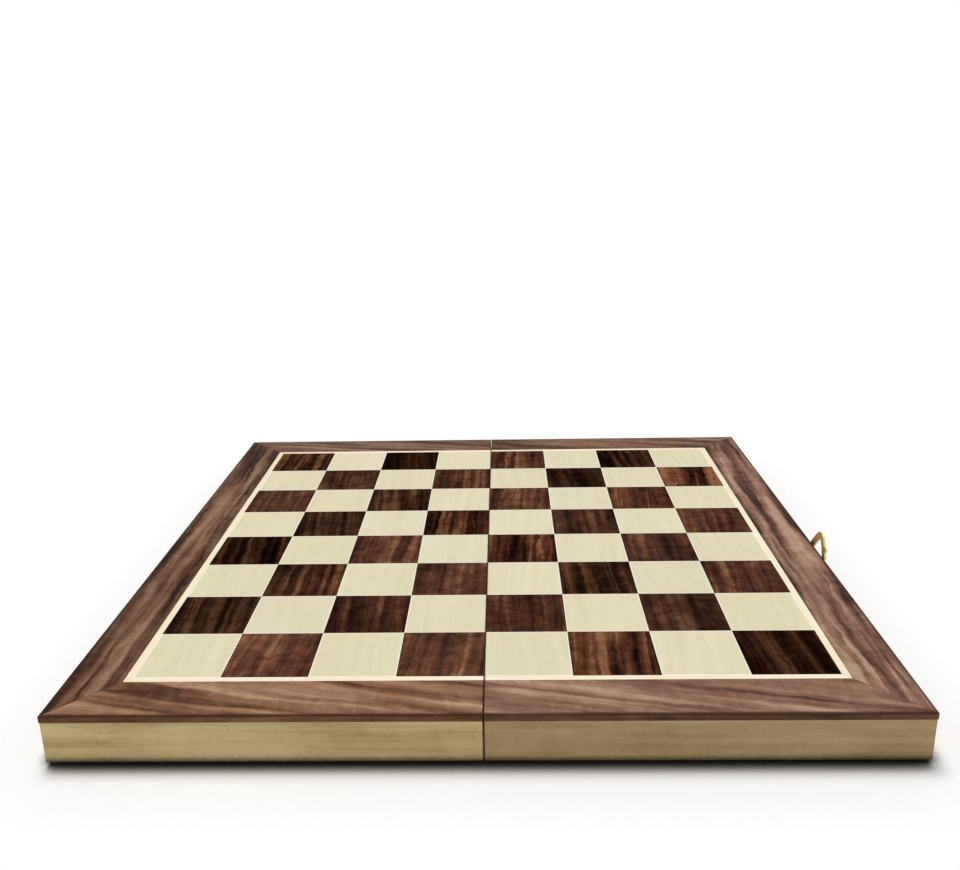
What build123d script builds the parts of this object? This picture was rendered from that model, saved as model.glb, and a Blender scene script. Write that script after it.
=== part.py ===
from build123d import *
from math import asin, cos, radians, sin
import os

# Folding chess board: two shallow wooden trays joined by two butt hinges along
# the middle. Open, the trays lie mouth down and their backs make one playing
# field. Folded, the rims meet, the field is outside and a brass hook holds them.
#
# Frame: millimetres, +Z up, standing on the plane Z = 0. The origin is under the
# middle of the board. The fold line runs front to back, along Y, at X = 0.

# Playing field, seen from above
square = 41.0
ranks = 8
files_per_half = 4
stringing_width = 3.5
border_width = 27.5
seam_gap = 0.4

# Layers, from the rims up to the playing surface
board_height = 24.0
veneer_thickness = 0.6
panel_thickness = 3.0
lipping_width = 3.0
lipping_round = 0.5
border_round = 0.5

# Rails of the trays
rail_thickness = 9.0
spine_thickness = 10.0
rail_setback = 0.3
rail_round = 0.8
rebate_depth = 4.5

# Felt glued inside each tray
felt_thickness = 1.0
felt_margin = 1.0
felt_corner = 5.0

# Butt hinges, let into the rims of the spine rails
closing_gap = 0.3
pin_radius = 0.75
pin_clearance = 0.05
pin_proud = 0.4
leaf_thickness = 0.7
leaf_reach = 8.6
leaf_corner = 1.2
hinge_length = 32.0
hinge_from_end = 70.0
knuckle_count = 5
knuckle_gap = 0.15
knuckle_room = 0.3
roll_slit = 0.15

# Countersunk screws of the hinges
screw_head_radius = 2.1
screw_head_depth = 1.3
screw_land = 0.2
screw_shank_radius = 1.1
screw_length = 9.0
screw_tip = 1.6
screw_slot_width = 0.6
screw_slot_depth = 0.5
screw_pitch = 19.0
screw_from_axis = 5.2

# Swing hook on the right end, catch stud on the left end
catch_height = 14.0
catch_y = -6.0
hook_lean = 55.0
hook_thickness = 1.2
hook_width = 4.4
hook_eye_radius = 4.2
hook_edge = 0.2
hook_play = 0.1
finger_angle = 17.0
tab_angle = 10.0
tab_radius = 1.6
tab_reach = 7.1
washer_thickness = 0.8
washer_radius = 3.6
catch_flange_radius = 3.4
catch_flange_thickness = 0.5
catch_neck_radius = 1.2
catch_clearance = 0.3
catch_head_radius = 2.7
pivot_head_radius = 3.2
dome_height = 1.8
catch_shank_depth = 7.0
dome_slot_width = 0.7
dome_slot_depth = 0.6

# Levels and outlines that follow from the sizes above
knuckle_radius = pin_radius + pin_clearance + leaf_thickness
knuckle_length = (hinge_length - (knuckle_count - 1) * knuckle_gap) / knuckle_count
axis_z = knuckle_radius
rim_z = axis_z + closing_gap / 2
top_z = rim_z + board_height
panel_top_z = top_z - veneer_thickness
rail_top_z = panel_top_z - panel_thickness
inner_x = seam_gap / 2
field_x = files_per_half * square
field_y = ranks * square / 2
stringing_x = field_x + stringing_width
stringing_y = field_y + stringing_width
half_x = stringing_x + border_width
half_y = stringing_y + border_width
rail_x = half_x - rail_setback
rail_y = half_y - rail_setback
spine_end_y = rail_y - rail_thickness + rebate_depth
catch_z = rim_z + catch_height
catch_reach = 2 * (catch_z - axis_z)
neck_length = washer_thickness + hook_thickness + 2 * hook_play
hinge_places = [hinge_from_end - half_y, half_y - hinge_from_end]


def block(x_low, x_high, y_low, y_high, z_low, z_high):
    """A box between the given planes."""
    size = (x_high - x_low, y_high - y_low, z_high - z_low)
    middle = ((x_low + x_high) / 2, (y_low + y_high) / 2, (z_low + z_high) / 2)
    return Pos(*middle) * Box(*size)


def on_side(shape, side):
    """Parts are drawn for the right half, and mirrored across the fold for the left."""
    return shape if side == "right" else mirror(shape, about=Plane.YZ)


def mitred_strips(outer_x, outer_y, width, z_low, z_high, rounded="", radius=0):
    """Front, back and end strips round three sides of a half, mitred at its corners.
    Their outer edge is rounded at the top or at the bottom, where rounded says so."""
    outside = block(inner_x, outer_x, -outer_y, outer_y, z_low, z_high)
    if rounded:
        levels = outside.edges().group_by(Axis.Z)
        edges = levels[-1] if rounded == "top" else levels[0]
        outer_edges = edges.sort_by(Axis.X)[1:]
        outside = fillet(outer_edges, radius)
    inner_far = outer_x - width
    inside = block(inner_x, inner_far, width - outer_y, outer_y - width, z_low, z_high)
    ring = outside - inside
    front_mitre = Plane(origin=(outer_x, -outer_y, 0), z_dir=(1, 1, 0))
    back_mitre = Plane(origin=(outer_x, outer_y, 0), z_dir=(1, -1, 0))
    front = split(ring, bisect_by=front_mitre, keep=Keep.BOTTOM)
    back = split(ring, bisect_by=back_mitre, keep=Keep.BOTTOM)
    end = split(ring, bisect_by=front_mitre, keep=Keep.TOP)
    end = split(end, bisect_by=back_mitre, keep=Keep.TOP)
    return front, back, end


def countersunk_screw():
    """A revolved wood screw, its flat head on Z = 0 and its tip up."""
    profile = Polyline(
        (0, 0),
        (screw_head_radius, 0),
        (screw_head_radius, screw_land),
        (screw_shank_radius, screw_head_depth),
        (screw_shank_radius, screw_length - screw_tip),
        (0, screw_length),
        close=True,
    )
    return revolve(Plane.XZ * make_face(profile), Axis.Z)


def screw_slot():
    """The driver slot across a countersunk head."""
    half_width = screw_slot_width / 2
    reach = screw_head_radius
    return block(-reach, reach, -half_width, half_width, -screw_land, screw_slot_depth)


def hinge_screw_places(hinge_y):
    """Where the screws of one leaf go through it."""
    x = screw_from_axis
    return [Pos(x, hinge_y + y, rim_z) for y in (-screw_pitch / 2, screw_pitch / 2)]


def knuckle_start(index):
    """The front end of a knuckle, from the middle of its hinge."""
    return index * (knuckle_length + knuckle_gap) - hinge_length / 2


def along_y(radius, start, length):
    """A round bar on the hinge axis."""
    return Pos(0, start + length / 2, axis_z) * Rot(90, 0, 0) * Cylinder(radius, length)


def hinge_leaf(own_parity, bore_radius):
    """One leaf of a butt hinge at Y = 0: a plate whose fingers are rolled round the pin."""
    ends = (-hinge_length / 2, hinge_length / 2)
    leaf = block(0, leaf_reach, *ends, rim_z, rim_z + leaf_thickness)
    corners = leaf.edges().filter_by(Axis.Z).group_by(Axis.X)[-1]
    leaf = fillet(corners, leaf_corner)
    for index in range(knuckle_count):
        start = knuckle_start(index)
        if index % 2 == own_parity:
            leaf += along_y(knuckle_radius, start, knuckle_length)
        else:
            front = start - knuckle_gap
            back = start + knuckle_length + knuckle_gap
            room = knuckle_radius + knuckle_room
            leaf -= block(-room, room, front, back, axis_z, rim_z + leaf_thickness)
    leaf -= along_y(bore_radius, ends[0], hinge_length)
    slit_reach = knuckle_radius + roll_slit
    leaf -= block(0, slit_reach, *ends, rim_z - roll_slit, rim_z)
    for place in hinge_screw_places(0):
        leaf -= place * countersunk_screw()
    return leaf


def hinge_pin():
    """The pin of one hinge, with its ends broken."""
    length = hinge_length + 2 * pin_proud
    pin = along_y(pin_radius, -length / 2, length)
    ends = pin.edges().group_by(Axis.Y)
    return chamfer(ends[0] + ends[-1], pin_proud / 2)


def hinge_recess(hinge_y):
    """What a hinge takes out of a spine rail: the leaf's mortise, the room for the
    knuckles and the screw holes."""
    front = hinge_y - hinge_length / 2
    back = hinge_y + hinge_length / 2
    room = pin_proud + knuckle_room
    mortise = block(0, leaf_reach, front, back, rim_z, rim_z + leaf_thickness)
    length = hinge_length + 2 * room
    barrel = along_y(knuckle_radius + knuckle_room, front - room, length)
    tools = [place * countersunk_screw() for place in hinge_screw_places(hinge_y)]
    return [mortise, barrel, *tools]


def domed_pin(head_radius, flange=()):
    """A round-headed pin on the X axis. Its shank goes into the rail, whose face is at
    X = 0, and its neck stands out of it, up to the domed head. The points of a flange
    lie between them."""
    head_x = neck_length + dome_height
    sphere_radius = (head_radius**2 + dome_height**2) / (2 * dome_height)
    half_angle = asin(head_radius / sphere_radius) / 2
    dome_middle = (
        head_x - sphere_radius * (1 - cos(half_angle)),
        sphere_radius * sin(half_angle),
    )
    with BuildSketch(Plane.XY) as section:
        with BuildLine():
            Polyline(
                (head_x, 0),
                (-catch_shank_depth, 0),
                (-catch_shank_depth, catch_neck_radius),
                *flange,
                (neck_length, catch_neck_radius),
                (neck_length, head_radius),
            )
            ThreePointArc((neck_length, head_radius), dome_middle, (head_x, 0))
        make_face()
    return revolve(section.sketch, Axis.X)


def disc(radius, thickness):
    """A round plate on the face X = 0, standing out from it."""
    return Pos(thickness / 2, 0, 0) * Rot(0, 90, 0) * Cylinder(radius, thickness)


def polar(angle, radius):
    """A point seen from the hook's pivot, its angle measured from the arm."""
    return (radius * sin(radians(angle)), radius * cos(radians(angle)))


def hook_outline():
    """The stamped hook, its pivot at the origin and its arm up: the arm bends to one
    side, and the finger comes back over the stud on an arc round the pivot."""
    bend = catch_neck_radius + catch_clearance + hook_width / 2
    finger_radius = catch_reach + bend
    turn = sin(radians(45))
    over_start = (-bend, catch_reach)
    over_middle = (-bend * turn, catch_reach + bend * turn)
    over_end = (0, finger_radius)
    arm = Spline((0, 0), over_start, tangents=[(0, 1), (0, 1)])
    over = ThreePointArc(over_start, over_middle, over_end)
    finger_middle = polar(finger_angle / 2, finger_radius)
    finger = ThreePointArc(over_end, finger_middle, polar(finger_angle, finger_radius))
    outline = trace([arm, over, finger], hook_width)
    outline += Circle(hook_eye_radius)
    outline += Pos(*polar(finger_angle, finger_radius)) * Circle(hook_width / 2)
    tab_base = Pos(*polar(tab_angle, finger_radius)) * Circle(hook_width / 2)
    tab_end = Pos(*polar(tab_angle, catch_reach + tab_reach)) * Circle(tab_radius)
    outline += make_hull(tab_base.edges() + tab_end.edges())
    return outline


def swing_hook():
    """The hook as it lies with the board open: leaning forwards, past upright."""
    lean = radians(hook_lean)
    inner_face = rail_x + washer_thickness + hook_play
    plane = Plane(
        origin=(inner_face, catch_y, catch_z),
        x_dir=(0, -cos(lean), -sin(lean)),
        z_dir=(-1, 0, 0),
    )
    hole = Circle(catch_neck_radius + pin_clearance)
    blank = extrude(plane * (hook_outline() - hole), amount=-hook_thickness)
    outer_edges = blank.edges().group_by(Axis.X)[-1]
    return chamfer(outer_edges, hook_edge)


def square_colours(side):
    """The light and the dark squares of one half, as two lists of veneer tiles."""
    colours = {"light": [], "dark": []}
    for column in range(files_per_half):
        low = max(column * square, inner_x)
        high = (column + 1) * square
        for rank in range(ranks):
            front = rank * square - field_y
            tile = block(low, high, front, front + square, panel_top_z, top_z)
            file_number = files_per_half + column
            if side == "left":
                file_number = files_per_half - 1 - column
            colour = "light" if (file_number + rank) % 2 == 0 else "dark"
            colours[colour].append(on_side(tile, side))
    return colours


def tray(side):
    """All the fixed wooden pieces and the felt of one half, by node name."""
    front_rail, back_rail, end_rail = mitred_strips(
        rail_x, rail_y, rail_thickness, rim_z, rail_top_z, "bottom", rail_round
    )
    spine_x = inner_x + spine_thickness
    spine = block(inner_x, spine_x, -spine_end_y, spine_end_y, rim_z, rail_top_z)
    front_rail -= spine
    back_rail -= spine
    for hinge_y in hinge_places:
        for tool in hinge_recess(hinge_y):
            spine -= tool
    end_rail -= Pos(rail_x, catch_y, catch_z) * domed_pin(catch_head_radius)

    panel_x = half_x - lipping_width
    panel_y = half_y - lipping_width
    panel = block(inner_x, panel_x, -panel_y, panel_y, rail_top_z, panel_top_z)
    lipping = mitred_strips(
        half_x, half_y, lipping_width, rail_top_z, panel_top_z, "bottom", lipping_round
    )
    border = mitred_strips(
        half_x, half_y, border_width, panel_top_z, top_z, "top", border_round
    )
    stringing = mitred_strips(
        stringing_x, stringing_y, stringing_width, panel_top_z, top_z
    )
    felt_x = rail_x - rail_thickness - felt_margin
    felt_y = rail_y - rail_thickness - felt_margin
    felt_low = rail_top_z - felt_thickness
    felt = block(spine_x + felt_margin, felt_x, -felt_y, felt_y, felt_low, rail_top_z)
    felt = fillet(felt.edges().filter_by(Axis.Z), felt_corner)

    pieces = {
        "front_rail": [front_rail],
        "back_rail": [back_rail],
        "end_rail": [end_rail],
        "spine_rail": [spine],
        "panel": [panel],
        "lipping": lipping,
        "front_border": [border[0]],
        "back_border": [border[1]],
        "end_border": [border[2]],
        "stringing": stringing,
        "felt_lining": [felt],
    }
    nodes = {}
    for name, solids in pieces.items():
        nodes[f"{side}_{name}"] = [on_side(solid, side) for solid in solids]
    for colour, tiles in square_colours(side).items():
        nodes[f"{side}_{colour}_squares"] = tiles
    return nodes


def hinges():
    """Both hinges: the right leaves hold the pins, and the left leaves turn on them."""
    nodes = {"right_hinge_screws": [], "left_hinge_screws": []}
    for place, hinge_y in zip(("front", "back"), hinge_places):
        at_hinge = Pos(0, hinge_y, 0)
        right_leaf = hinge_leaf(0, pin_radius)
        left_leaf = on_side(hinge_leaf(1, pin_radius + pin_clearance), "left")
        nodes[f"{place}_hinge_right_leaf"] = [at_hinge * right_leaf]
        nodes[f"{place}_hinge_left_leaf"] = [at_hinge * left_leaf]
        nodes[f"{place}_hinge_pin"] = [at_hinge * hinge_pin()]
        for screw_place in hinge_screw_places(hinge_y):
            screw = screw_place * (countersunk_screw() - screw_slot())
            for side in ("right", "left"):
                nodes[f"{side}_hinge_screws"].append(on_side(screw, side))
    return nodes


def clasp():
    """The hook with its washer and pivot screw, and the stud that it catches."""
    at_pivot = Pos(rail_x, catch_y, catch_z)
    hole = disc(catch_neck_radius, washer_thickness)
    washer = disc(washer_radius, washer_thickness) - hole
    head_x = neck_length + dome_height
    slot = block(
        head_x - dome_slot_depth,
        head_x + dome_slot_depth,
        -pivot_head_radius,
        pivot_head_radius,
        -dome_slot_width / 2,
        dome_slot_width / 2,
    )
    pivot = domed_pin(pivot_head_radius) - slot
    flange = [
        (0, catch_neck_radius),
        (0, catch_flange_radius),
        (catch_flange_thickness, catch_flange_radius),
        (catch_flange_thickness, catch_neck_radius),
    ]
    stud = domed_pin(catch_head_radius, flange)
    return {
        "hook": [swing_hook()],
        "hook_washer": [at_pivot * washer],
        "hook_pivot_screw": [at_pivot * pivot],
        "catch_stud": [on_side(at_pivot * stud, "left")],
    }


def main():
    os.makedirs("parts", exist_ok=True)
    nodes = {**tray("right"), **tray("left"), **hinges(), **clasp()}
    for name, shapes in nodes.items():
        solids = [solid for shape in shapes for solid in shape.solids()]
        whole = solids[0] if len(solids) == 1 else Compound(children=solids)
        export_step(whole, f"parts/{name}.step")
        print(name, len(solids), round(sum(solid.volume for solid in solids), 2))


main()
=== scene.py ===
# %% [markdown]
# # A folding chess board
#
# The board is two shallow wooden trays, hinged along the middle. Open, they lie mouth
# down, and their backs make one playing field. The CAD model already has the shape of
# every hard piece, so this lesson is mostly about finishes: veneers, pale rails, brass
# and felt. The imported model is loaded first, because everything else is fitted to it.

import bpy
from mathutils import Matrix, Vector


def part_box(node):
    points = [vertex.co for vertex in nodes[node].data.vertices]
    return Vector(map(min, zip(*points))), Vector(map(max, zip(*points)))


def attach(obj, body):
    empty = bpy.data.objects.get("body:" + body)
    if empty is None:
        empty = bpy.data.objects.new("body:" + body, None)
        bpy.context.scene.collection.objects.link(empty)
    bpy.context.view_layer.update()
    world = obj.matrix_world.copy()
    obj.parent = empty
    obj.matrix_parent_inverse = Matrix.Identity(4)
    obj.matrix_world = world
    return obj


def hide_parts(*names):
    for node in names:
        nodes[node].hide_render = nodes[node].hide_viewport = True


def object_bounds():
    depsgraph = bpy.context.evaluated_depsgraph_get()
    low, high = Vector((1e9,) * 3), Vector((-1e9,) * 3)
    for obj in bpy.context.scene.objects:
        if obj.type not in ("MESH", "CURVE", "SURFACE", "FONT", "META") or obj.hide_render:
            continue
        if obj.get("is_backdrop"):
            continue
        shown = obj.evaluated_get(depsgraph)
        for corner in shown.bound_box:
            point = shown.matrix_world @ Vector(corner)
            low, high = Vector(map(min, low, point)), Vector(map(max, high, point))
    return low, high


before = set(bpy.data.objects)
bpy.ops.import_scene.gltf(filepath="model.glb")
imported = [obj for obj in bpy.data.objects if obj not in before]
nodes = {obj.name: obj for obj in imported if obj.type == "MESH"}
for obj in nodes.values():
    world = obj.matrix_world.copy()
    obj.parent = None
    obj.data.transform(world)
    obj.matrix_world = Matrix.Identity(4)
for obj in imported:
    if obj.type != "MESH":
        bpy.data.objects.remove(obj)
cad_low, cad_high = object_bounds()
print("pieces:", len(nodes))
print("size in mm:", [round(1000 * side, 1) for side in cad_high - cad_low])

# %% [markdown]
# The pieces are small, so sizes are easiest to read in millimetres. Blender works in
# metres, and one factor turns the one into the other. The finishes need three sizes of
# the board. The side of a square is 41 mm. The other two are read from the model: half
# the side of the open board, and the level of the rims, which the hinges hold just
# clear of the table.

# %% Sizes that the finishes follow
import bpy
import bmesh
from math import radians
from mathutils import Matrix, Vector, noise

mm = 0.001
square = 41 * mm
half_side = cad_high.y
rim_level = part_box("right_end_rail")[0].z
print("half side:", round(half_side / mm, 2), "mm, rims at", round(rim_level / mm, 2), "mm")

# %% [markdown]
# The camera stands where the photographer stood: a little above the board, close in
# front of it, and slightly to the right. It is set first, so that every later step can
# be compared with the picture. A rotation is easiest to read as three turns: the pitch
# down to the board, a small roll, and the turn to the left.

# %% Camera
camera_turn = radians(1.496)
camera_pitch = radians(72.541)
camera_roll = radians(-1.104)
camera_place = (10.4 * mm, -556.45 * mm, 266.0 * mm)

scene = bpy.context.scene
camera_data = bpy.data.cameras.new("camera")
camera_data.sensor_width = 36
camera_data.sensor_fit = "HORIZONTAL"
camera_data.lens = 36.21
camera_data.clip_start = 0.01
camera_data.clip_end = 100
camera = bpy.data.objects.new("camera", camera_data)
scene.collection.objects.link(camera)
turn = Matrix.Rotation(camera_turn, 4, "Z")
pitch = Matrix.Rotation(camera_pitch, 4, "X")
roll = Matrix.Rotation(camera_roll, 4, "Z")
camera.matrix_world = Matrix.Translation(camera_place) @ turn @ pitch @ roll
scene.camera = camera
print("camera height above the table:", round(camera.location.z / mm, 1), "mm")

# %% [markdown]
# A material is a graph of nodes. Written out in full, each node takes four or five
# lines, and the idea gets lost. A few small helpers keep one node on one line: the first
# adds any node and feeds its inputs, and the others do arithmetic with numbers. An input
# is fed with a number, a colour or another node's output.

# %% Helpers that write a node in one line
def add(tree, kind, inputs=None, **settings):
    """A new node. inputs feeds its sockets by name or number."""
    node = tree.nodes.new("ShaderNode" + kind)
    for name, value in settings.items():
        setattr(node, name, value)
    for name, value in (inputs or {}).items():
        socket = node.inputs[name]
        if isinstance(value, bpy.types.NodeSocket):
            tree.links.new(value, socket)
        else:
            socket.default_value = value
    return node


def calc(tree, operation, *values):
    """The result of one operation on numbers."""
    inputs = dict(enumerate(values))
    return add(tree, "Math", inputs, operation=operation).outputs[0]


def ease(tree, value, low, high, start=0.0, end=1.0):
    """A smooth step: start below low, end above high."""
    inputs = {"Value": value, 1: low, 2: high, 3: start, 4: end}
    node = add(tree, "MapRange", inputs, interpolation_type="SMOOTHSTEP")
    return node.outputs["Result"]


def weigh(tree, masks, weights, start=0.0):
    """start plus each named mask times its weight."""
    total = start
    for name, weight in weights.items():
        total = calc(tree, "MULTIPLY_ADD", masks[name], weight, total)
    return total


print("number helpers ready")

# %% [markdown]
# A point's place on the board is a vector. Object coordinates give it, and because each
# piece's object sits at the origin, they are the board's own coordinates. These helpers
# scale, turn, split and join vectors, and give a place in millimetres.

# %% Helpers for vectors
def vector_calc(tree, operation, *vectors):
    """The result of one operation on vectors."""
    inputs = dict(enumerate(vectors))
    return add(tree, "VectorMath", inputs, operation=operation).outputs[0]


def scaled(tree, vector, factor):
    """A vector times a number."""
    return add(tree, "VectorMath", {0: vector, 3: factor}, operation="SCALE").outputs[0]


def turned(tree, vector, angle):
    """A vector turned about the upright axis."""
    inputs = {"Vector": vector, "Angle": angle}
    return add(tree, "VectorRotate", inputs, rotation_type="Z_AXIS").outputs[0]


def split(tree, vector):
    """The three coordinates of a vector."""
    return add(tree, "SeparateXYZ", {0: vector}).outputs


def joined(tree, x=0.0, y=0.0, z=0.0):
    """A vector from its coordinates."""
    return add(tree, "CombineXYZ", {0: x, 1: y, 2: z}).outputs[0]


def place_in_mm(tree):
    """A point's place on the board, in millimetres."""
    return scaled(tree, add(tree, "TexCoord").outputs["Object"], 1 / mm)


print("vector helpers ready")

# %% [markdown]
# A shader counts in amounts of light, which are not the 0 to 255 values that a painter's
# program shows. One helper turns the one into the other, so that tones can be written as
# a painter would write them. The other two mix colours and lay them out along a value.

# %% Helpers for colours
def srgb(red, green, blue):
    """A painter's colour, 0 to 255, in the light values of a shader."""
    shares = [value / 255 for value in (red, green, blue)]
    linear = [s / 12.92 if s < 0.04045 else ((s + 0.055) / 1.055) ** 2.4 for s in shares]
    return (*linear, 1)


def mix(tree, factor, first, second):
    """A colour between two others."""
    inputs = {0: factor, 6: first, 7: second}
    return add(tree, "Mix", inputs, data_type="RGBA").outputs[2]


def ramp(tree, value, stops):
    """Colours at places along a 0 to 1 value."""
    node = add(tree, "ValToRGB", {"Fac": value})
    elements = node.color_ramp.elements
    while len(elements) < len(stops):
        elements.new(0.5)
    for element, (position, colour) in zip(elements, stops):
        element.position = position
        element.color = colour
    return node.outputs["Color"]


print("mid grey in a shader:", round(srgb(128, 128, 128)[0], 3))

# %% [markdown]
# An effect that several finishes share becomes a node group with named sockets, built
# once. One helper makes an empty group, one leads values to its outputs, and one places
# a finished group in a material.

# %% Helpers for node groups
NUMBER = "NodeSocketFloat"
VECTOR = "NodeSocketVector"
COLOUR = "NodeSocketColor"


def new_group(name, inputs, outputs):
    """An empty group, the values that it is given and the sockets for its results."""
    group = bpy.data.node_groups.new(name, "ShaderNodeTree")
    for socket_name, default in inputs.items():
        kind = VECTOR if isinstance(default, tuple) else NUMBER
        socket = group.interface.new_socket(socket_name, in_out="INPUT", socket_type=kind)
        socket.default_value = default
    for socket_name, kind in outputs.items():
        group.interface.new_socket(socket_name, in_out="OUTPUT", socket_type=kind)
    given = group.nodes.new("NodeGroupInput").outputs
    result = group.nodes.new("NodeGroupOutput").inputs
    return group, given, result


def lead_out(group, result, values):
    """Leads each value to the group's output of that name."""
    for name, value in values.items():
        group.links.new(value, result[name])
    print(group.name, "has", len(group.nodes), "nodes")


def use_group(tree, group, inputs):
    """The outputs of a group placed in a material."""
    return add(tree, "Group", inputs, node_tree=group).outputs


print("group helpers ready")

# %% [markdown]
# No two pieces of veneer show the same wood. White noise turns the number of a piece
# into random values that stay the same all over the piece. Three of them move the place
# where the grain is looked up, by up to 700 mm along each axis, and that gives the
# piece its own leaf.

# %% Helpers that give each piece its own wood
leaf_shift = 700.0


def throw_dice(tree, piece_number, seed):
    """A random value and a random colour for each piece."""
    inputs = {"Vector": piece_number, "W": seed}
    return add(tree, "TexWhiteNoise", inputs, noise_dimensions="4D").outputs


def on_own_leaf(tree, place, dice):
    """A place moved far off by chance."""
    return vector_calc(tree, "ADD", place, scaled(tree, dice["Color"], leaf_shift))


print("a leaf is moved by up to", leaf_shift, "mm along each axis")

# %% [markdown]
# Veneer tiles are cut one by one, so each square needs its own piece of grain, its own tone and
# a slight lean of the grain. The group finds the tile that a point is on by dividing its place
# by the side of a square and rounding down. It also measures the distance to the tile's edge in
# millimetres, for the glue joint: a darker line round a walnut tile, and round a maple tile a
# brighter line, which is a painted highlight along its edge.

# %% Group: where a point is on its tile
tile_lean = 0.22
tile_map, given, result = new_group(
    "tile_map", {"Seed": 0.0}, {"Grain": VECTOR, "Chance": COLOUR, "Edge": NUMBER}
)
place = add(tile_map, "TexCoord").outputs["Object"]
in_tiles = scaled(tile_map, place, 1 / square)
tile = split(tile_map, vector_calc(tile_map, "FLOOR", in_tiles))
dice = throw_dice(tile_map, joined(tile_map, tile[0], tile[1]), given["Seed"])
share = vector_calc(tile_map, "FRACTION", in_tiles)
from_middle = vector_calc(tile_map, "SUBTRACT", share, (0.5, 0.5, 0))
away = split(tile_map, vector_calc(tile_map, "ABSOLUTE", from_middle))
farthest = calc(tile_map, "MAXIMUM", away[0], away[1])
edge = calc(tile_map, "MULTIPLY", calc(tile_map, "SUBTRACT", 0.5, farthest), square / mm)
either_way = calc(tile_map, "SUBTRACT", dice["Value"], 0.5)
lean = calc(tile_map, "MULTIPLY", either_way, tile_lean)
leaning = turned(tile_map, from_middle, lean)
on_tile = split(tile_map, scaled(tile_map, leaning, square / mm))
along_first = joined(tile_map, on_tile[1], on_tile[0])
grain = on_own_leaf(tile_map, along_first, dice)
lead_out(tile_map, result, {"Grain": grain, "Chance": dice["Color"], "Edge": edge})

# %% [markdown]
# The borders, the light line, the edge band and the rails are strips, and the grain of
# each runs along it. They meet in mitres on the diagonals of the board, so a point
# belongs to an end strip where its distance from the fold is more than its distance
# from the middle of the fold line. Each strip gets a number from the side that it is
# on, and from that its own leaf. Edge is the distance to the mitre in millimetres. Lean
# slants the grain of the front and back strips, as in a leaf cut at a slight angle.
# Always Across is for pieces without mitres: their grain runs front to back all over,
# and no mitre shows on them.

# %% Group: where a point is on its strip
far_from_mitre = 99.0
diagonal_share = 0.7071
strip_map, given, result = new_group(
    "strip_map",
    {"Seed": 0.0, "Always Across": 0.0, "Lean": 0.0},
    {"Grain": VECTOR, "Chance": COLOUR, "Edge": NUMBER},
)
x, y, z = split(strip_map, place_in_mm(strip_map))
x_size = calc(strip_map, "ABSOLUTE", x)
y_size = calc(strip_map, "ABSOLUTE", y)
is_end = calc(strip_map, "GREATER_THAN", x_size, y_size)
across = calc(strip_map, "MAXIMUM", is_end, given["Always Across"])
lengthways = calc(strip_map, "SUBTRACT", 1.0, across)
front_or_back = calc(strip_map, "MULTIPLY", calc(strip_map, "SIGN", y), lengthways)
row = calc(strip_map, "ADD", front_or_back, 2.0)
strip_number = joined(strip_map, calc(strip_map, "SIGN", x), row, across)
dice = throw_dice(strip_map, strip_number, given["Seed"])
leaning = calc(strip_map, "MULTIPLY_ADD", x, given["Lean"], y)
inputs = {0: across, 4: joined(strip_map, x, leaning, z), 5: joined(strip_map, y, x, z)}
on_strip = add(strip_map, "Mix", inputs, data_type="VECTOR").outputs[1]
grain = on_own_leaf(strip_map, on_strip, dice)
to_mitre = calc(strip_map, "ABSOLUTE", calc(strip_map, "SUBTRACT", x_size, y_size))
no_mitre = calc(strip_map, "MULTIPLY", given["Always Across"], far_from_mitre)
to_mitre = calc(strip_map, "ADD", to_mitre, no_mitre)
edge = calc(strip_map, "MULTIPLY", to_mitre, diagonal_share)
lead_out(strip_map, result, {"Grain": grain, "Chance": dice["Color"], "Edge": edge})

# %% [markdown]
# Everything in wood is long along the grain and narrow across it. A noise gets that form
# when its coordinates are squeezed first. The helper takes the count of noise cells in
# a millimetre along the grain, across it and into the wood: 0.01 is a cell of 100 mm.

# %% Helper: noise that follows the grain
def stretched_noise(tree, vector, cells, detail, roughness=0.5, distortion=0.0):
    """Noise with the given cells per millimetre in the three directions."""
    inputs = {
        "Vector": vector_calc(tree, "MULTIPLY", vector, cells),
        "Scale": 1.0,
        "Detail": detail,
        "Roughness": roughness,
        "Distortion": distortion,
    }
    return add(tree, "TexNoise", inputs).outputs["Fac"]


print("noise helper ready")

# %% [markdown]
# Wood is drawn in one group, at several scales. The figure comes first: the broad
# pattern of growth rings, cut through at a low angle. The contour lines of a slow noise
# give it, as they do on a map of hills. Each ring darkens slowly and ends at once, as a
# year's growth does.

# %% Group: wood, its figure
hill_height = 42.0
wave_height = 2.2
wood_inputs = {
    "Grain": (0.0, 0.0, 0.0), "Ring Width": 3.0, "Wander": 1.0,
    "Streak Width": 3.0, "Pore Share": 0.5,
}
wood_effects = ("Figure", "Streaks", "Fibre", "Pores", "Cloud", "Curl", "Flecks")
wood_grain, given, result = new_group(
    "wood_grain", wood_inputs, {effect: NUMBER for effect in wood_effects}
)
grain = given["Grain"]
hills = stretched_noise(wood_grain, grain, cells=(0.007, 0.045, 0.045), detail=2.0)
waves = stretched_noise(wood_grain, grain, cells=(0.02, 0.16, 0.16), detail=3.0)
height = calc(wood_grain, "MULTIPLY", given["Wander"], hill_height)
rise = calc(wood_grain, "MULTIPLY", hills, height)
rise = calc(wood_grain, "MULTIPLY_ADD", waves, wave_height, rise)
level = calc(wood_grain, "ADD", split(wood_grain, grain)[1], rise)
rings = calc(wood_grain, "FRACT", calc(wood_grain, "DIVIDE", level, given["Ring Width"]))
slow_rise = ease(wood_grain, rings, low=0.0, high=0.78)
quick_fall = ease(wood_grain, rings, low=0.8, high=1.0)
figure = calc(wood_grain, "SUBTRACT", slow_rise, quick_fall)
print("figure:", len(wood_grain.nodes), "nodes so far")

# %% [markdown]
# The streaks are the dark and light bands that run the whole length of a leaf. They
# drift with the same hills as the figure and wobble a little, so that no streak is
# ruled straight.

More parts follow.
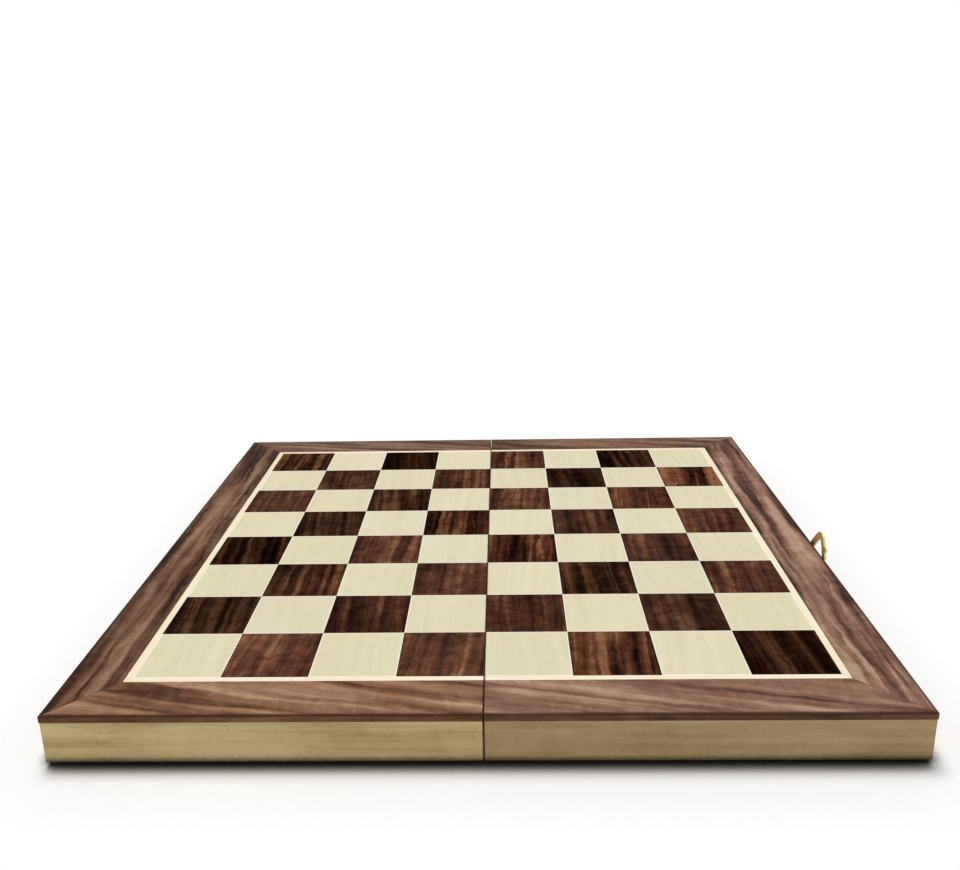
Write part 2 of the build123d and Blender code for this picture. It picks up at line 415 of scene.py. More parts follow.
# %% Group: wood, its streaks
drift_height = 14.0
wobble_height = 5.0
streak_cells_along = 0.006
height = calc(wood_grain, "MULTIPLY", given["Wander"], drift_height)
drift = calc(wood_grain, "MULTIPLY", hills, height)
wobble = stretched_noise(wood_grain, grain, cells=(0.07, 0.1, 0.1), detail=3.0, roughness=0.55)
drift = calc(wood_grain, "MULTIPLY_ADD", wobble, wobble_height, drift)
drifted = vector_calc(wood_grain, "ADD", grain, joined(wood_grain, y=drift))
per_mm = calc(wood_grain, "DIVIDE", 1.0, given["Streak Width"])
cells = joined(wood_grain, streak_cells_along, per_mm, per_mm)
bands = stretched_noise(wood_grain, drifted, cells, 3.0, roughness=0.55, distortion=0.25)
streaks = ease(wood_grain, bands, low=0.34, high=0.68)
print("streaks:", len(wood_grain.nodes), "nodes so far")

# %% [markdown]
# The fibre is a fine streak along the grain. The pores are short dark dashes, a few
# millimetres long and a fraction of one wide, and Pore Share lowers the level above
# which the noise counts as a pore. Cloud is a slow change of tone over a leaf, curl is
# the short cross-wise shimmer of wavy fibres, and flecks are a few small dark spots.

# %% Group: wood, its fine marks
pore_level = 0.74
pore_level_drop = 0.16
pore_softness = 0.05
threads = stretched_noise(wood_grain, grain, (0.05, 2.4, 2.4), detail=4.0, roughness=0.65)
dashes = stretched_noise(wood_grain, grain, cells=(0.45, 3.8, 3.8), detail=1.0)
drop = calc(wood_grain, "MULTIPLY", given["Pore Share"], pore_level_drop)
pore_start = calc(wood_grain, "SUBTRACT", pore_level, drop)
pore_end = calc(wood_grain, "ADD", pore_start, pore_softness)
clouds = stretched_noise(wood_grain, grain, (0.012, 0.05, 0.05), detail=3.0, roughness=0.55)
curls = stretched_noise(wood_grain, grain, (0.13, 0.09, 0.09), detail=1.5, distortion=0.8)
spots = stretched_noise(wood_grain, grain, cells=(0.09, 0.4, 0.4), detail=2.0)
drawn = {
    "Figure": figure,
    "Streaks": streaks,
    "Fibre": ease(wood_grain, threads, low=0.3, high=0.7),
    "Pores": ease(wood_grain, dashes, pore_start, pore_end),
    "Cloud": ease(wood_grain, clouds, low=0.3, high=0.7),
    "Curl": ease(wood_grain, curls, low=0.32, high=0.68),
    "Flecks": ease(wood_grain, spots, low=0.72, high=0.8),
}
lead_out(wood_grain, result, drawn)

# %% [markdown]
# A lacquered board that has been handled is never even: the gloss is duller in soft
# patches where hands have rubbed it, and it has a few hair-thin scratches in all
# directions. A scratch is the line where a long thin noise crosses its middle value,
# and a second noise breaks it off. Each direction is an angle in radians with the cells
# of that noise in a millimetre across it. Specks of dust complete the group. All are
# masks, so each finish decides how much they show.

# %% Group: rubbed patches and fine scratches
scratch_width = 0.006
scratch_directions = ((0.35, 0.9), (1.9, 0.7), (2.7, 1.1))
handling, given, result = new_group(
    "handling", {"Scale": 1.0}, {"Rubbed": NUMBER, "Scratches": NUMBER, "Specks": NUMBER}
)
spot = scaled(handling, place_in_mm(handling), given["Scale"])
patches = stretched_noise(handling, spot, (0.03, 0.03, 0.03), 4.0, roughness=0.6, distortion=0.4)
scratches = 0.0
for angle, across in scratch_directions:
    way = turned(handling, spot, angle)
    cells = (0.012, across, across)
    hair = stretched_noise(handling, way, cells, 1.0, roughness=0.4, distortion=0.15)
    from_line = calc(handling, "ABSOLUTE", calc(handling, "SUBTRACT", hair, 0.5))
    line = ease(handling, from_line, low=0.0, high=scratch_width, start=1.0, end=0.0)
    stretch = stretched_noise(handling, way, cells=(0.03, 0.05, 0.05), detail=1.0)
    piece_of_line = ease(handling, stretch, low=0.56, high=0.64)
    scratch = calc(handling, "MULTIPLY", line, piece_of_line)
    scratches = calc(handling, "MAXIMUM", scratches, scratch)
dust = stretched_noise(handling, spot, cells=(0.9, 0.9, 0.9), detail=1.0)
marks = {
    "Rubbed": ease(handling, patches, low=0.38, high=0.66),
    "Scratches": scratches,
    "Specks": ease(handling, dust, low=0.76, high=0.82),
}
lead_out(handling, result, marks)

# %% [markdown]
# Three places on the board are darker. The edges along the fold are darker. Just above the rims,
# the rails carry painted shade, the shade near the table, with a little dirt, but less on the
# faces that meet when the board is shut. The outer edge, rounded by sanding, carries painted
# shade where it turns away from the light. All three follow from a point's place, so one group
# gives them as masks. A noise makes the limits at the fold and rims ragged.

# %% Group: painted shade at the rims and outer edge, and the darker fold
rim_shade_raggedness = -1.6
shut_face_share = 0.35
fold_and_edge_shade, given, result = new_group(
    "fold_and_edge_shade", {"Fold": 0.45}, {"Fold Edge": NUMBER, "Rim Shade": NUMBER, "Outer Edge Shade": NUMBER}
)
spot = place_in_mm(fold_and_edge_shade)
x, y, z = split(fold_and_edge_shade, spot)
x_size = calc(fold_and_edge_shade, "ABSOLUTE", x)
y_size = calc(fold_and_edge_shade, "ABSOLUTE", y)
ragged = stretched_noise(fold_and_edge_shade, spot, (0.25, 0.25, 0.9), detail=4.0, roughness=0.6)
reach = calc(fold_and_edge_shade, "MULTIPLY", given["Fold"], calc(fold_and_edge_shade, "ADD", ragged, 0.6))
past_fold = calc(fold_and_edge_shade, "DIVIDE", x_size, reach)
above_rim = calc(fold_and_edge_shade, "SUBTRACT", z, rim_level / mm)
above_rim = calc(fold_and_edge_shade, "MULTIPLY_ADD", ragged, rim_shade_raggedness, above_rim)
# Painted shade, with a little dirt, over the lowest few millimetres above the rims.
low_down = ease(fold_and_edge_shade, above_rim, low=-1.4, high=3.2, start=1.0, end=0.0)
upright = split(fold_and_edge_shade, add(fold_and_edge_shade, "TexCoord").outputs["Normal"])[2]
facing = calc(fold_and_edge_shade, "ABSOLUTE", upright)
less_shade_on_shut_faces = ease(fold_and_edge_shade, facing, low=0.6, high=0.95, start=1.0, end=shut_face_share)
outward = calc(fold_and_edge_shade, "MAXIMUM", x_size, y_size)
inward = calc(fold_and_edge_shade, "SUBTRACT", half_side / mm, outward)
dark_places = {
    "Fold Edge": ease(fold_and_edge_shade, past_fold, low=0.7, high=1.3, start=1.0, end=0.0),
    "Rim Shade": calc(fold_and_edge_shade, "MULTIPLY", low_down, less_shade_on_shut_faces),
    # Painted shade along the rounded outer edge.
    "Outer Edge Shade": ease(fold_and_edge_shade, inward, low=0.3, high=2.4, start=1.0, end=0.0),
}
lead_out(fold_and_edge_shade, result, dark_places)

# %% [markdown]
# Every material starts the same way: an empty graph with its main shader, and at the end
# a bump that presses marks into the surface. Two helpers take care of that.

# %% Helpers that start and relieve a material
def new_material(name):
    """A material with an empty tree and its Principled shader."""
    material = bpy.data.materials.new(name)
    material.use_nodes = True
    tree = material.node_tree
    tree.nodes.clear()
    shader = add(tree, "BsdfPrincipled")
    output = add(tree, "OutputMaterial")
    tree.links.new(shader.outputs[0], output.inputs["Surface"])
    return material, tree, shader


def relieve(tree, shader, height, depth, strength):
    """Bumps the surface by a height, up to a depth in metres."""
    bump = add(tree, "Bump", {"Height": height, "Distance": depth, "Strength": strength})
    tree.links.new(bump.outputs[0], shader.inputs["Normal"])


print("material helpers ready")

# %% [markdown]
# All the woods share one recipe, and a look is the list of what is special to one of them. The
# colour is made in four steps. The figure, streaks, cloud, curl and fibre are added up and run
# through the wood's tones, from dark to light. Pores and flecks darken it. Then each piece gets
# its own tone, by chance. Joints, the darker fold line and painted shade at the rims and outer
# edges come last.

# %% Recipe for a wood: its colour
fold_darkening = 0.75
joint_core = 0.4


def by_chance(tree, throw, limits):
    """A value between two limits, picked by a random number."""
    return add(tree, "MapRange", {0: throw, 3: limits[0], 4: limits[1]}).outputs[0]


def leaf_colour(tree, parts, chance, look):
    """The colour of a leaf of this wood."""
    striping = by_chance(tree, chance[2], look["striping"])
    either_way = calc(tree, "SUBTRACT", parts["Streaks"], 0.5)
    effects = {
        "figure": parts["Figure"],
        "streaks": calc(tree, "MULTIPLY", either_way, striping),
        "cloud": parts["Cloud"],
        "curl": parts["Curl"],
        "fibre": parts["Fibre"],
    }
    strengths = {effect: look[effect] for effect in effects}
    blend = weigh(tree, effects, strengths, look["middle"])
    last = len(look["tones"]) - 1
    stops = [(index / last, srgb(*tone)) for index, tone in enumerate(look["tones"])]
    colour = ramp(tree, blend, stops)
    for mark, strength in (("Pores", look["pore_depth"]), ("Flecks", look["fleck_strength"])):
        share = calc(tree, "MULTIPLY", parts[mark], strength)
        colour = mix(tree, share, colour, srgb(*look["pore_tone"]))
    return colour


def own_tone(tree, colour, chance, look):
    """The colour changed a little for each piece."""
    shift = look["hue_range"]
    inputs = {
        "Hue": by_chance(tree, chance[1], (0.5 - shift, 0.5 + shift)),
        "Saturation": by_chance(tree, chance[2], look["rich"]),
        "Value": by_chance(tree, chance[0], look["piece_tones"]),
        "Color": colour,
    }
    return add(tree, "HueSaturation", inputs).outputs[0]


def darkened_at_edges(tree, colour, look):
    """The colour darkened along the fold, with painted shade at the rims and the outer edge."""
    dark = use_group(tree, fold_and_edge_shade, {"Fold": look["fold_reach"]})
    strengths = {"Fold Edge": fold_darkening, "Rim Shade": look["rim_shade"], "Outer Edge Shade": look["outer"]}
    for where, strength in strengths.items():
        share = calc(tree, "MULTIPLY", dark[where], strength)
        colour = mix(tree, share, colour, srgb(*look["fold_and_shade_tone"]))
    return colour


print("colour recipe ready")

# %% [markdown]
# The surface is satin lacquer. It is duller where it is rubbed, scratched or sunk into a
# pore. Pores, scratches and joints press in, and the fibre stands up a little, because
# lacquer shrinks into the wood as it dries. Such lacquer shines little, so the specular
# level is low.

# %% Recipe for a wood: its surface, and the whole
dullness = {"Rubbed": 0.1, "Pores": 0.12, "Scratches": 0.12}
wood_relief = {"Pores": -0.6, "Fibre": 0.18, "Scratches": -0.25, "Joint": -1.0}
wood_relief_strength = 0.6


def wood(name, piece_map, map_inputs, look):
    """A lacquered wood. look holds its tones and strengths."""
    material, tree, shader = new_material(name)
    spot = use_group(tree, piece_map, map_inputs)
    chance = add(tree, "SeparateColor", {0: spot["Chance"]}).outputs
    grain_inputs = {
        "Grain": spot["Grain"],
        "Ring Width": look["ring_width"],
        "Wander": look["wander"],
        "Streak Width": look["streak_width"],
        "Pore Share": look["pore_share"],
    }
    parts = use_group(tree, wood_grain, grain_inputs)
    wear = use_group(tree, handling, {"Scale": 1.0})
    colour = own_tone(tree, leaf_colour(tree, parts, chance, look), chance, look)
    core = look["joint"] * joint_core
    joint = ease(tree, spot["Edge"], core, look["joint"], start=1.0, end=0.0)
    share = calc(tree, "MULTIPLY", joint, look["joint_strength"])
    colour = mix(tree, share, colour, srgb(*look["joint_tone"]))
    colour = darkened_at_edges(tree, colour, look)
    tree.links.new(colour, shader.inputs["Base Color"])
    masks = {
        "Rubbed": wear["Rubbed"],
        "Scratches": wear["Scratches"],
        "Pores": parts["Pores"],
        "Fibre": parts["Fibre"],
        "Joint": joint,
    }
    rough = weigh(tree, masks, dullness, look["roughness"])
    tree.links.new(rough, shader.inputs["Roughness"])
    height = weigh(tree, masks, wood_relief)
    relieve(tree, shader, height, look["relief"] * mm, wood_relief_strength)
    shader.inputs["Specular IOR Level"].default_value = look["specular"]
    return material


print("wood recipe ready")

# %% [markdown]
# The dark squares are walnut: chocolate brown, with dark stripes along the grain and a
# wide spread between one leaf and the next. The light squares are maple, so even that
# only the pale line round each one and a faint fibre show. The plain look holds what
# most woods share, and each look changes what is its own. Widths are in millimetres.

# %% Finishes of the playing field
plain_look = {
    "middle": 0.12, "streak_width": 3.5, "striping": (1.0, 1.0),
    "figure": 0.15, "streaks": 0.25, "cloud": 0.2, "curl": 0.1, "fibre": 0.2,
    "fleck_strength": 0.0,
    "fold_reach": 0.5, "rim_shade": 0.0, "outer": 0.0, "fold_and_shade_tone": (70, 50, 34),
    "piece_tones": (0.98, 1.02), "hue_range": 0.004, "rich": (0.94, 1.06),
    "relief": 0.03, "roughness": 0.5, "specular": 0.0,
}
dark_look = {
    **plain_look,
    "middle": 0.18, "ring_width": 6.5, "wander": 0.3, "pore_share": 0.95,
    "streak_width": 5.0, "striping": (0.5, 1.4),
    "figure": 0.1, "streaks": 0.6, "cloud": 0.36, "curl": 0.2, "fibre": 0.1,
    "tones": [(20, 10, 8), (59, 35, 24), (96, 60, 41), (140, 99, 71)],
    "pore_depth": 0.5, "pore_tone": (34, 20, 14),
    "piece_tones": (0.22, 1.4), "hue_range": 0.005, "rich": (0.96, 1.05),
    "joint": 0.45, "joint_strength": 0.55, "joint_tone": (38, 24, 17),
    "relief": 0.05,
}
light_look = {
    **plain_look,
    "ring_width": 9.0, "wander": 0.5, "pore_share": 0.2,
    "tones": [(219, 211, 176), (226, 219, 187), (230, 225, 195)],
    "pore_depth": 0.12, "pore_tone": (190, 170, 130),
    # The bright joint round each maple tile is a painted highlight along its edge.
    "joint": 0.8, "joint_strength": 0.8, "joint_tone": (250, 246, 230),
    "fold_and_shade_tone": (120, 96, 66), "relief": 0.02,
}
dark_squares = wood("walnut_squares", tile_map, {"Seed": 523460.0}, dark_look)
light_squares = wood("maple_squares", tile_map, {"Seed": 9.0}, light_look)
print("field finishes:", dark_squares.name, light_squares.name)

# %% [markdown]
# Round the field run a thin line of bright maple and a wide mitred border of walnut,
# more pink and more streaky than the squares. The back border is a darker leaf of the
# same wood, and the end borders have bolder streaks. The edge band below the border is
# walnut too, darker still.

# %% Finishes of the line, the borders and the band
line_look = {
    **light_look,
    "tones": [(236, 220, 188), (248, 236, 208), (252, 242, 218)],
    "joint": 0.15, "joint_strength": 0.6, "joint_tone": (150, 120, 90),
}
border_look = {
    **plain_look,
    "middle": 0.1, "ring_width": 12.0, "wander": 0.8, "pore_share": 0.6,
    "streak_width": 8.0,
    "figure": 0.24, "streaks": 0.6, "cloud": 0.34, "curl": 0.14, "fibre": 0.14,
    "tones": [(72, 44, 31), (120, 84, 64), (152, 115, 91), (182, 148, 122)],
    "pore_depth": 0.4, "pore_tone": (76, 48, 34),
    "piece_tones": (0.5, 1.36), "hue_range": 0.006, "rich": (0.9, 1.04),
    "joint": 0.16, "joint_strength": 0.7, "joint_tone": (60, 38, 28),
    # The outer edge of each border carries painted shade, where its rounded edge turns away from
    # the light.
    "fold_and_shade_tone": (66, 43, 29), "outer": 0.9, "relief": 0.05, "specular": 0.02,
}
back_border_look = {**border_look, "piece_tones": (0.43, 1.18)}
end_border_look = {
    **border_look,
    "streaks": 0.8, "cloud": 0.4, "middle": -0.02,
    "tones": [(56, 32, 22), (110, 75, 56), (148, 110, 86), (182, 148, 122)],
    # The end borders' outer edge carries a darker painted shade.
    "fold_and_shade_tone": (40, 27, 20), "piece_tones": (0.5, 1.06),
}
band_look = {
    **border_look,
    "ring_width": 5.0,
    "tones": [(62, 40, 27), (92, 64, 43), (108, 77, 54), (126, 93, 68)],
    "pore_tone": (50, 30, 20), "outer": 0.0,
}
border_seed = 3280.0
slanted = {"Seed": border_seed, "Lean": 0.2}
light_line = wood("maple_line", strip_map, {"Seed": 2.0}, line_look)
front_border = wood("walnut_border", strip_map, slanted, border_look)
back_border = wood("walnut_back_border", strip_map, slanted, back_border_look)
end_border = wood("walnut_end_border", strip_map, {"Seed": 635.0}, end_border_look)
edge_band = wood("walnut_edge_band", strip_map, {"Seed": border_seed}, band_look)
print("border finishes:", front_border.name, back_border.name, end_border.name)

# %% [markdown]
# The rails are pale softwood, planed and lacquered, with narrow straight rings and a few flecks,
# and painted shade, with a little dirt, over the lowest millimetres of their sides. The spine
# rails lie along the fold and have no mitres, so their grain runs front to back all over. The
# panels are plywood with a plain birch face, which shows most in the narrow margin round the
# felt.

# %% Finishes of the rails and the panels
rail_look = {
    **plain_look,
    "ring_width": 4.2, "wander": 0.22, "pore_share": 0.5, "streak_width": 4.5,
    "figure": 0.16, "streaks": 0.3, "cloud": 0.32, "curl": 0.08, "fibre": 0.12,
    "fleck_strength": 0.45,
    "tones": [(160, 132, 88), (194, 169, 125), (211, 188, 143), (218, 197, 156)],
    "pore_depth": 0.35, "pore_tone": (136, 98, 56),
    "piece_tones": (0.72, 1.14), "hue_range": 0.006, "rich": (1.12, 0.92),
    "joint": 0.2, "joint_strength": 0.6, "joint_tone": (92, 68, 42),
    # Painted shade, with a little dirt, darkens the lowest few millimetres of the rails' sides.
    "rim_shade": 0.95, "fold_and_shade_tone": (50, 36, 19),
    "roughness": 0.52, "relief": 0.05, "specular": 0.1,
}
panel_look = {
    **rail_look,
    "ring_width": 14.0, "wander": 1.2, "figure": 0.4, "streaks": 0.2,
    "tones": [(176, 142, 100), (196, 164, 120), (208, 178, 136)],
    "piece_tones": (0.95, 1.0), "rim_shade": 0.0, "roughness": 0.6,
}
rails = wood("pine_rails", strip_map, {"Seed": 1193.0}, rail_look)
spine = wood("pine_spine", strip_map, {"Seed": 3.0, "Always Across": 1.0}, rail_look)
panels = wood("birch_ply", strip_map, {"Seed": 1.0, "Always Across": 1.0}, panel_look)
print("rail finishes:", rails.name, spine.name, panels.name)

# %% [markdown]
# The CAD pieces keep their meshes, and only their material slots change. Both halves are
# made alike, so one table says which finish a piece has, and the names of the two
# halves differ in their first word.

# %% Dress the wooden pieces
def dress(node_name, material):
    """Gives a piece of the model its finish."""
    slots = nodes[node_name].data.materials
    slots.clear()
    slots.append(material)


sides = ("right", "left")
wooden_pieces = {
    "dark_squares": dark_squares,
    "light_squares": light_squares,
    "stringing": light_line,
    "front_border": front_border,
    "back_border": back_border,
    "end_border": end_border,
    "lipping": edge_band,
    "front_rail": rails,
    "back_rail": rails,
    "end_rail": rails,
    "spine_rail": spine,
    "panel": panels,
}
for side in sides:
    for piece_name, material in wooden_pieces.items():
        dress(f"{side}_{piece_name}", material)
print("wooden pieces dressed:", len(sides) * len(wooden_pieces))

# %% [markdown]
# The hook, its washer and stud, the hinges and their screws are stamped or turned
# brass, with a thin lacquer. Years of handling leave it duller and browner in patches,
# with fine scratches where fingers and the stud rub. The pins are drawn steel wire. The
# metal pieces are small, so the marks on them are smaller too.

# %% Finishes of the metal
mark_scale_on_metal = 6.0
metal_dullness = {"Rubbed": 0.18, "Scratches": 0.15}
metal_relief = {"Specks": 1.0, "Scratches": -0.5}
metal_relief_depth = 0.02 * mm


def metal(name, tone, tarnish, roughness, tarnish_share):
    """A worn metal. tarnish is its colour where it has dulled."""
    material, tree, shader = new_material(name)
    wear = use_group(tree, handling, {"Scale": mark_scale_on_metal})
    share = calc(tree, "MULTIPLY", wear["Rubbed"], tarnish_share)
    colour = mix(tree, share, srgb(*tone), srgb(*tarnish))
    tree.links.new(colour, shader.inputs["Base Color"])
    rough = weigh(tree, wear, metal_dullness, roughness)
    tree.links.new(rough, shader.inputs["Roughness"])
    height = weigh(tree, wear, metal_relief)
    relieve(tree, shader, height, metal_relief_depth, strength=0.5)
    shader.inputs["Metallic"].default_value = 1.0
    return material


brass = metal("worn_brass", (230, 218, 144), (182, 170, 104), roughness=0.26, tarnish_share=0.6)
steel = metal("drawn_steel", (196, 194, 188), (140, 134, 126), roughness=0.3, tarnish_share=0.5)
clasp_pieces = ["hook", "hook_washer", "hook_pivot_screw", "catch_stud"]
for piece_name in clasp_pieces:
    dress(piece_name, brass)
for side in sides:
    dress(f"{side}_hinge_screws", brass)
for hinge in ("front_hinge", "back_hinge"):
    dress(f"{hinge}_right_leaf", brass)
    dress(f"{hinge}_left_leaf", brass)
    dress(f"{hinge}_pin", steel)
print("metals:", brass.name, steel.name)

# %% [markdown]
# The felt is short-napped wool. Its colour follows three noises: the nap itself, the
# tufts that it lies in, and the slow bands that brushing leaves. Wool has no gloss, but
# its loose fibres catch light at the edge of view, which the sheen gives. A few bits of
# lint are a little smoother than the rest.

# %% Finish of the felt
felt_relief_depth = 0.25 * mm
felt_green, tree, shader = new_material("green_felt")
spot = place_in_mm(tree)
wool = {
    "nap": stretched_noise(tree, spot, (1.6, 2.4, 1.6), 5.0, roughness=0.7, distortion=1.2),
    "tufts": stretched_noise(tree, spot, (0.25, 0.3, 0.3), 3.0, roughness=0.6, distortion=0.8),
    "brushing": stretched_noise(tree, spot, (0.015, 0.02, 0.02), 2.0),
}
shade = weigh(tree, wool, {"nap": 0.5, "tufts": 0.3, "brushing": 0.25})
stops = [(0.3, srgb(14, 44, 30)), (0.52, srgb(24, 74, 50)), (0.75, srgb(48, 104, 74))]
tree.links.new(ramp(tree, shade, stops), shader.inputs["Base Color"])
lint = ease(tree, stretched_noise(tree, spot, (0.8, 2.6, 2.6), 2.0), low=0.74, high=0.8)
rough = calc(tree, "MULTIPLY_ADD", lint, -0.1, 0.95)
tree.links.new(rough, shader.inputs["Roughness"])
height = weigh(tree, wool, {"tufts": 1.0, "nap": 0.7})
relieve(tree, shader, height, felt_relief_depth, strength=0.9)
shader.inputs["Specular IOR Level"].default_value = 0.2
shader.inputs["Sheen Weight"].default_value = 0.5
shader.inputs["Sheen Roughness"].default_value = 0.4
print("felt finish:", felt_green.name)

# %% [markdown]
# Each sheet of felt is cut with round corners and glued to the underside of its panel. A
# plain block would show knife-sharp edges, so the sheet is made from a four-cornered
# face: a bevel rounds its corners, extruding gives it its thickness, and a second bevel
# softens the lower edge. Cuts across it give points that can be moved.

# %% Shape of a felt sheet
felt_corner = 5 * mm
felt_edge = 0.4 * mm
cut_spacing = 6 * mm


def felt_slab(low, high):
    """A thin slab with round corners and soft lower edges, cut into a grid."""
    mesh = bmesh.new()
    corners = [(low.x, low.y), (high.x, low.y), (high.x, high.y), (low.x, high.y)]
    mesh.faces.new([mesh.verts.new((x, y, high.z)) for x, y in corners])
    bmesh.ops.bevel(
        mesh, geom=mesh.verts[:], offset=felt_corner, affect="VERTICES",
        segments=6, profile=0.5, material=-1,
    )
    lowered = bmesh.ops.extrude_face_region(mesh, geom=mesh.faces[:])["geom"]
    lower_points = [item for item in lowered if isinstance(item, bmesh.types.BMVert)]
    lower_edges = [item for item in lowered if isinstance(item, bmesh.types.BMEdge)]
    bmesh.ops.translate(mesh, verts=lower_points, vec=(0, 0, low.z - high.z))
    bmesh.ops.bevel(
        mesh, geom=lower_edges, offset=felt_edge, affect="EDGES",
        segments=3, profile=0.5, material=-1,
    )
    bmesh.ops.recalc_face_normals(mesh, faces=mesh.faces[:])
    for axis in (0, 1):
        cuts = int((high[axis] - low[axis]) / cut_spacing)
        normal = Vector((axis == 0, axis == 1, 0))
        for number in range(1, cuts):
            point = low.lerp(high, number / cuts)
            everything = mesh.verts[:] + mesh.edges[:] + mesh.faces[:]
            bmesh.ops.bisect_plane(mesh, geom=everything, plane_co=point, plane_no=normal)
    return mesh


print("felt grid:", round(cut_spacing / mm, 1), "mm")

# %% [markdown]
# Felt pressed into glue by hand is never quite even, so the points of the lower side are moved
# up a little by a slow noise. The sheet takes the place of the CAD slab and rides with its half
# of the board.

# %% The two felt sheets
unevenness = 0.14 * mm
bump_length = 14 * mm
level_tolerance = 0.01 * mm

for side in sides:
    low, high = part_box(f"{side}_felt_lining")
    mesh = felt_slab(low, high)
    for vertex in mesh.verts:
        if vertex.co.z < low.z + level_tolerance:
            push = 0.5 + 0.5 * noise.noise(vertex.co / bump_length)
            vertex.co.z += unevenness * push
    data = bpy.data.meshes.new(f"{side}_felt")
    mesh.to_mesh(data)
    mesh.free()
    sheet = bpy.data.objects.new(f"{side}_felt", data)
    scene.collection.objects.link(sheet)
    data.materials.append(felt_green)
    print(side, "felt faces:", len(data.polygons))
    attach(sheet, f"{side}_half")
    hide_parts(f"{side}_felt_lining")

# %% [markdown]
# The board stands on a plain white floor, one large face. It is marked as stage,
# because it is no part of the object.

# %% Floor
floor_reach = 40
floor_mesh = bmesh.new()
bmesh.ops.create_grid(floor_mesh, x_segments=1, y_segments=1, size=floor_reach)
floor_data = bpy.data.meshes.new("floor")
floor_mesh.to_mesh(floor_data)
floor_mesh.free()
floor = bpy.data.objects.new("floor", floor_data)
scene.collection.objects.link(floor)
floor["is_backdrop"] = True
print("floor:", 2 * floor_reach, "m wide")

# %% [markdown]
# Near the board the floor is a matt surface that takes its soft shadow, and right at the rims a
# painted contact shadow darkens its colour, where ambient occlusion finds the board close by, as
# a narrow gap would. Farther out it glows in the white of the world, so no horizon shows. Only
# rays that show the background see that white: those from the camera, from glossy surfaces and
# through clear ones.

# %% Floor, its white and its shadow
contact_reach = 11 * mm
painted_contact_shadow_tone = srgb(74, 72, 66)
floor_tone = (0.98, 0.98, 0.98, 1)
white = (1, 1, 1, 1)


def seen_directly(tree):
    """1 for rays that show the background: camera, glossy and transmission rays."""
    ray = add(tree, "LightPath").outputs
    shown = calc(tree, "MAXIMUM", ray["Is Camera Ray"], ray["Is Glossy Ray"])
    return calc(tree, "MAXIMUM", shown, ray["Is Transmission Ray"])


floor_material = bpy.data.materials.new("floor_white")
floor_material.use_nodes = True
floor_data.materials.append(floor_material)
tree = floor_material.node_tree
tree.nodes.clear()
# Painted contact shadow: the floor's colour darkens where the board is within reach.
close_by = add(tree, "AmbientOcclusion", {"Distance": contact_reach}, samples=8)
open_share = ease(tree, close_by.outputs["AO"], low=0.5, high=0.92)
matt = add(tree, "BsdfDiffuse", {"Color": mix(tree, open_share, painted_contact_shadow_tone, floor_tone)})
glow = add(tree, "Emission", {"Color": white, "Strength": 1.0})
place = add(tree, "TexCoord").outputs["Object"]
radius = add(tree, "VectorMath", {0: place}, operation="LENGTH").outputs["Value"]
far = ease(tree, radius, low=0.3, high=0.9)
share = calc(tree, "MULTIPLY", far, seen_directly(tree))
white_floor = add(tree, "MixShader", {0: share, 1: matt.outputs[0], 2: glow.outputs[0]})
print("contact shadow:", round(contact_reach / mm), "mm wide")

# %% [markdown]
# The board can be folded under itself, and then a half of it is lower than the floor. So
# the floor turns clear to the camera where it takes no shadow, where something is
# hidden below it, and when it is seen from below. Ambient occlusion measures the first
# two, on its upper and its lower side. Once a ray has gone through the clear floor, its
# transparent depth is above 0, and the floor stays clear to it, so that light reaches
# what is below.

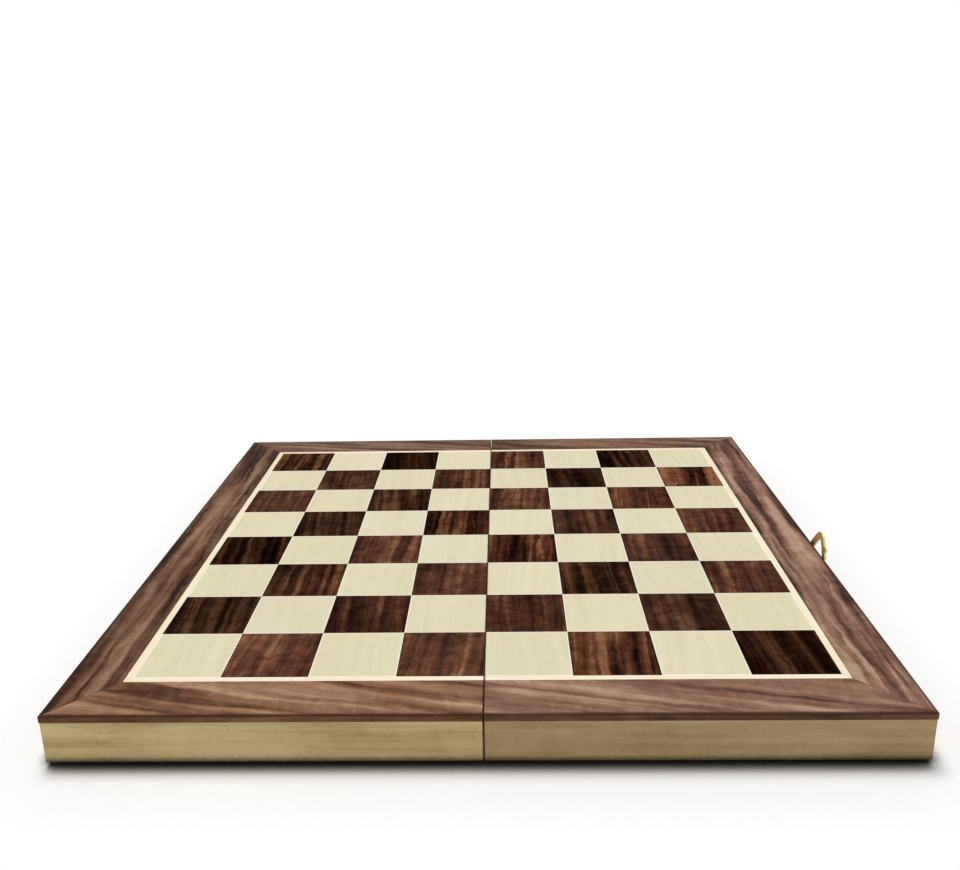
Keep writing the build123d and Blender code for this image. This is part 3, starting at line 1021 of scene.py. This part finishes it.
# %% Floor, its clear part
shadow_reach = 45 * mm
view_below = 0.2
around = add(tree, "AmbientOcclusion", {"Distance": shadow_reach}, samples=12)
unshaded = ease(tree, around.outputs["AO"], low=0.9, high=0.99)
below = add(tree, "AmbientOcclusion", {"Distance": view_below}, inside=True, samples=32)
hidden = ease(tree, below.outputs["AO"], low=0.95, high=0.999, start=1.0, end=0.0)
from_below = add(tree, "NewGeometry").outputs["Backfacing"]
ray = add(tree, "LightPath").outputs
opened = calc(tree, "MAXIMUM", calc(tree, "MAXIMUM", hidden, from_below), unshaded)
opened = calc(tree, "MULTIPLY", opened, ray["Is Camera Ray"])
gone_through = calc(tree, "MINIMUM", ray["Transparent Depth"], 1.0)
opened = calc(tree, "MAXIMUM", opened, gone_through)
clear = add(tree, "BsdfTransparent")
whole = add(tree, "MixShader", {0: opened, 1: white_floor.outputs[0], 2: clear.outputs[0]})
add(tree, "OutputMaterial", {"Surface": whole.outputs[0]})
print("floor material:", len(tree.nodes), "nodes")

# %% [markdown]
# The light on the board comes from two things. The first is the world's soft white, from
# all sides. It is dimmer as a light than as the background that is seen. What is seen
# through the floor gets no light back from it, so the world is brighter there.

# %% World
soft_light_strength = 0.4
extra_below = 0.5

world = bpy.data.worlds.new("studio")
scene.world = world
world.use_nodes = True
tree = world.node_tree
tree.nodes.clear()
depth = add(tree, "LightPath").outputs["Transparent Depth"]
gone_through = calc(tree, "MINIMUM", depth, 1.0)
strength = calc(tree, "MULTIPLY_ADD", gone_through, extra_below, soft_light_strength)
soft_light = add(tree, "Background", {"Color": white, "Strength": strength})
backdrop = add(tree, "Background", {"Color": white, "Strength": 1.0})
inputs = {0: seen_directly(tree), 1: soft_light.outputs[0], 2: backdrop.outputs[0]}
both = add(tree, "MixShader", inputs)
add(tree, "OutputWorld", {"Surface": both.outputs[0]})
print("world:", len(tree.nodes), "nodes")

# %% [markdown]
# The second is one wide sun, as from a big window. It shines down nearly upright, with
# a small turn about each level axis. Its width, in the sky, is what makes the shadows
# soft. The Standard view shows the colours as they are written.

# %% Sun
sun_strength = 1.95
sun_width = radians(26)
sun_turn_about_y = radians(-6)
sun_turn_about_x = radians(-15)

sun_data = bpy.data.lights.new("window", "SUN")
sun_data.energy = sun_strength
sun_data.angle = sun_width
sun = bpy.data.objects.new("window", sun_data)
scene.collection.objects.link(sun)
about_y = Matrix.Rotation(sun_turn_about_y, 4, "Y")
about_x = Matrix.Rotation(sun_turn_about_x, 4, "X")
sun.matrix_world = about_y @ about_x
scene.view_settings.view_transform = "Standard"
shine = sun.matrix_world.to_3x3() @ Vector((0, 0, -1))
print("sunlight runs along", [round(part, 2) for part in shine])

# %% Sizes
bpy.context.view_layer.update()
low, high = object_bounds()
